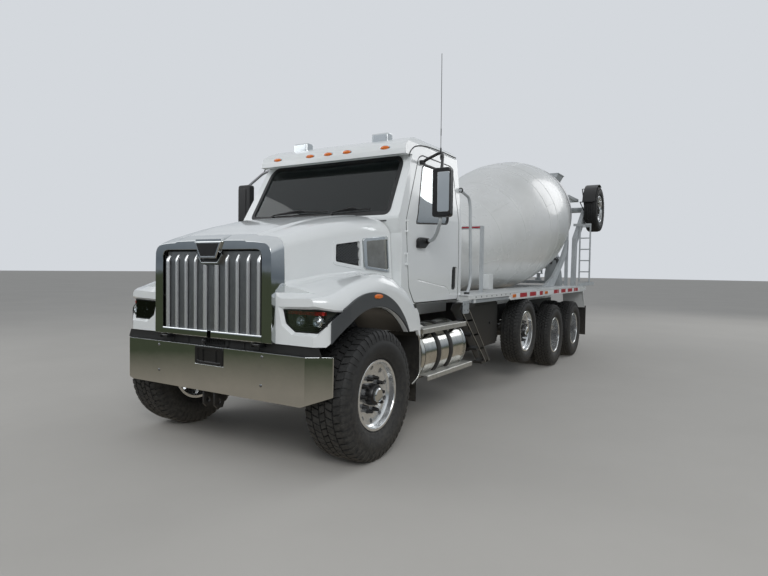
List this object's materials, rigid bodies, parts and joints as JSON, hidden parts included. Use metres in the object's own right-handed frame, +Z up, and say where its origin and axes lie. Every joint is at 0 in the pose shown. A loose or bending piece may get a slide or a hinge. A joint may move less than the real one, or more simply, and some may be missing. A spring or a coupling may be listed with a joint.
{
  "type": "concrete mixer truck",
  "caption": "Long-hood concrete mixer truck with tilted drum, charge hopper, folding chute, lift axle and a trailing axle folded up behind.",
  "frame": {"origin": "middle of the length and width, on the ground", "axes": "front of the truck towards -Y, its left side towards +X, +Z up"},
  "size_m": [2.82, 10.5999, 3.76],
  "materials": {
    "white_paint": "gloss",
    "grey_paint": "satin",
    "drum_paint": "satin",
    "black_paint": "satin",
    "chrome": "polished",
    "alloy": "polished",
    "tank_alloy": "polished",
    "cast": "satin",
    "tyre": "matte",
    "rubber": "matte",
    "glass": "clear",
    "lamp": "gloss",
    "amber": "gloss",
    "dark_plastic": "matte",
    "trim": "matte",
    "steel": "satin"
  },
  "bodies": {
    "truck": {"frame_rails": "black_paint", "bumper": "chrome", "engine": "cast", "radiator": "black_paint", "front_suspension": "cast", "rear_axles": "cast", "rear_suspension": "black_paint", "cab_shell": "white_paint", "cab_glass": "glass", "cab_interior": "trim", "roof_lights": "amber", "fuel_tanks": "tank_alloy", "tank_steps": "tank_alloy", "deck": "white_paint", "flaps_and_boxes": "rubber", "pedestals": "grey_paint", "drum_gearbox": "cast", "hoppers": "drum_paint", "ladder_and_rails": "grey_paint"},
    "hood": {"hood_shell": "white_paint", "grille": "chrome", "headlamps": "lamp", "arch_flares": "dark_plastic"},
    "left_door": {"door_left": "white_paint", "door_glass_left": "glass", "mirror_left": "dark_plastic"},
    "right_door": {"door_right": "white_paint", "door_glass_right": "glass", "mirror_right": "dark_plastic"},
    "left_knuckle": {"knuckle_left": "cast"},
    "right_knuckle": {"knuckle_right": "cast"},
    "steering_tie": {"tie_rod": "cast"},
    "front_wheel_left": {"front_tyre_left": "tyre", "front_rim_left": "alloy"},
    "front_wheel_right": {"front_tyre_right": "tyre", "front_rim_right": "alloy"},
    "lift_wheel_left": {"lift_tyre_left": "tyre", "lift_rim_left": "alloy"},
    "lift_wheel_right": {"lift_tyre_right": "tyre", "lift_rim_right": "alloy"},
    "drive1_wheels_left": {"drive1_tyres_left": "tyre", "drive1_rims_left": "alloy"},
    "drive1_wheels_right": {"drive1_tyres_right": "tyre", "drive1_rims_right": "alloy"},
    "drive2_wheels_left": {"drive2_tyres_left": "tyre", "drive2_rims_left": "alloy"},
    "drive2_wheels_right": {"drive2_tyres_right": "tyre", "drive2_rims_right": "alloy"},
    "trailing_axle": {"trail_arms": "black_paint"},
    "trail_wheel_left": {"trail_tyre_left": "tyre", "trail_rim_left": "alloy"},
    "trail_wheel_right": {"trail_tyre_right": "tyre", "trail_rim_right": "alloy"},
    "mixer_drum": {"drum": "drum_paint"},
    "left_roller": {"roller_left": "steel"},
    "right_roller": {"roller_right": "steel"},
    "chute_turn": {"chute_post": "grey_paint"},
    "chute_main": {"main_chute": "drum_paint"},
    "chute_fold": {"fold_chute": "drum_paint"}
  },
  "joints": [
    {"name": "hood_tilt", "type": "hinge", "parent": "truck", "child": "hood", "pos_m": [0, -5.282, 0.985], "axis": [1, 0, 0], "range_deg": [0, 70]},
    {"name": "left_door_swing", "type": "hinge", "parent": "truck", "child": "left_door", "pos_m": [1.038, -3.734, 1.86], "axis": [0, 0, -1], "range_deg": [0, 70]},
    {"name": "right_door_swing", "type": "hinge", "parent": "truck", "child": "right_door", "pos_m": [-1.038, -3.734, 1.86], "axis": [0, 0, 1], "range_deg": [0, 70]},
    {"name": "steer_left", "type": "hinge", "parent": "truck", "child": "left_knuckle", "pos_m": [0.9, -4.582, 0.55], "axis": [0, 0, 1], "range_deg": [-35, 35]},
    {"name": "steer_right", "type": "hinge", "parent": "truck", "child": "right_knuckle", "pos_m": [-0.9, -4.582, 0.55], "axis": [0, 0, 1], "range_deg": [-35, 35]},
    {"name": "tie_rod_turn", "type": "hinge", "parent": "left_knuckle", "child": "steering_tie", "pos_m": [0.82, -4.322, 0.388], "axis": [0, 0, 1], "range_deg": [-39, 39]},
    {"name": "front_spin_left", "type": "hinge", "parent": "left_knuckle", "child": "front_wheel_left", "pos_m": [1.082, -4.582, 0.55], "axis": [1, 0, 0], "continuous": true},
    {"name": "front_spin_right", "type": "hinge", "parent": "right_knuckle", "child": "front_wheel_right", "pos_m": [-1.082, -4.582, 0.55], "axis": [1, 0, 0], "continuous": true},
    {"name": "lift_spin_left", "type": "hinge", "parent": "truck", "child": "lift_wheel_left", "pos_m": [1.103, -0.432, 0.722], "axis": [1, 0, 0], "continuous": true},
    {"name": "lift_spin_right", "type": "hinge", "parent": "truck", "child": "lift_wheel_right", "pos_m": [-1.103, -0.432, 0.722], "axis": [1, 0, 0], "continuous": true},
    {"name": "drive1_spin_left", "type": "hinge", "parent": "truck", "child": "drive1_wheels_left", "pos_m": [0.9315, 1.178, 0.518], "axis": [1, 0, 0], "continuous": true},
    {"name": "drive1_spin_right", "type": "hinge", "parent": "truck", "child": "drive1_wheels_right", "pos_m": [-0.9315, 1.178, 0.518], "axis": [1, 0, 0], "continuous": true},
    {"name": "drive2_spin_left", "type": "hinge", "parent": "truck", "child": "drive2_wheels_left", "pos_m": [0.9315, 2.55, 0.518], "axis": [1, 0, 0], "continuous": true},
    {"name": "drive2_spin_right", "type": "hinge", "parent": "truck", "child": "drive2_wheels_right", "pos_m": [-0.9315, 2.55, 0.518], "axis": [1, 0, 0], "continuous": true},
    {"name": "trail_fold", "type": "hinge", "parent": "truck", "child": "trailing_axle", "pos_m": [0, 3.768, 0.905], "axis": [-1, 0, 0], "range_deg": [0, 73]},
    {"name": "trail_spin_left", "type": "hinge", "parent": "trailing_axle", "child": "trail_wheel_left", "pos_m": [1.103, 4.798, 3], "axis": [1, 0, 0], "continuous": true},
    {"name": "trail_spin_right", "type": "hinge", "parent": "trailing_axle", "child": "trail_wheel_right", "pos_m": [-1.103, 4.798, 3], "axis": [1, 0, 0], "continuous": true},
    {"name": "drum_spin", "type": "hinge", "parent": "truck", "child": "mixer_drum", "pos_m": [0, -1.982, 1.597], "axis": [0, 0.9744, 0.225], "continuous": true},
    {"name": "roller_spin_left", "type": "hinge", "parent": "truck", "child": "left_roller", "pos_m": [0.60957, 3.20673, 1.79374], "axis": [0, 0.9744, 0.225], "continuous": true},
    {"name": "roller_spin_right", "type": "hinge", "parent": "truck", "child": "right_roller", "pos_m": [-0.60957, 3.20673, 1.79374], "axis": [0, 0.9744, 0.225], "continuous": true},
    {"name": "chute_swing", "type": "hinge", "parent": "truck", "child": "chute_turn", "pos_m": [0, 4.368, 1.4], "axis": [0, 0, 1], "range_deg": [-60, 90]},
    {"name": "chute_lift", "type": "hinge", "parent": "chute_turn", "child": "chute_main", "pos_m": [0, 4.368, 1.62], "axis": [1, 0, 0], "range_deg": [-20, 10]},
    {"name": "chute_unfold", "type": "hinge", "parent": "chute_main", "child": "chute_fold", "pos_m": [0, 5.28, 1.906], "axis": [-1, 0, 0], "range_deg": [0, 180]}
  ],
  "couplings": [
    {"joint": "steer_right", "follows": "steer_left", "ratio": 1},
    {"joint": "tie_rod_turn", "follows": "steer_left", "ratio": -1.0931},
    {"joint": "roller_spin_left", "follows": "drum_spin", "ratio": -7.8462},
    {"joint": "roller_spin_right", "follows": "drum_spin", "ratio": -7.8462}
  ]
}
